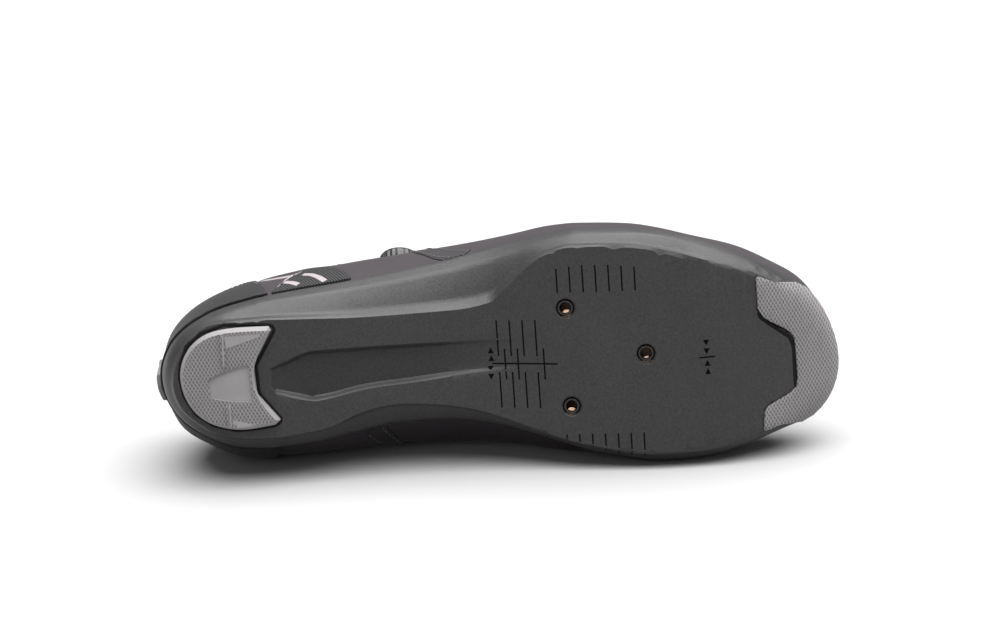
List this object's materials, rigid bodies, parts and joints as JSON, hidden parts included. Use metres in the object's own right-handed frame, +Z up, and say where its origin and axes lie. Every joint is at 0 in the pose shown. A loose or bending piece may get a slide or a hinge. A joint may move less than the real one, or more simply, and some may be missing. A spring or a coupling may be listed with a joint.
{
  "type": "cycling shoe",
  "caption": "Right road cycling shoe lying on its inner side, sole to the front, with fluted sole, heel and toe pads, cleat inserts and a dial closure.",
  "frame": {"origin": "centre of the shoe's bounding box at the floor it lies on", "axes": "+X from heel to toe, -Y the way the sole faces, +Z up towards the outer (lateral) side"},
  "size_m": [0.2822, 0.1004, 0.0967],
  "materials": {
    "sole_charcoal": "matte",
    "pad_grey": "matte",
    "dark_steel": "satin",
    "upper_microfibre": "matte",
    "ribbed_mesh": "matte",
    "tab_grey": "satin",
    "lining_black": "matte",
    "insole_board": "matte",
    "black_plastic": "satin",
    "wire_steel": "satin"
  },
  "bodies": {
    "root": {"outsole": "sole_charcoal", "toe_pad": "pad_grey", "heel_pad": "pad_grey", "cleat_insert_1": "dark_steel", "cleat_insert_2": "dark_steel", "cleat_insert_3": "dark_steel", "upper": "upper_microfibre", "heel_counter": "upper_microfibre", "quarter_panel": "ribbed_mesh", "heel_tab": "tab_grey", "tongue": "lining_black", "insole": "insole_board", "dial_base": "black_plastic", "dial": "black_plastic", "lace_guide_lateral_1": "black_plastic", "lace_guide_lateral_2": "black_plastic", "lace_guide_medial_1": "black_plastic", "lace_guide_medial_2": "black_plastic", "lace_wire": "wire_steel"}
  },
  "joints": []
}
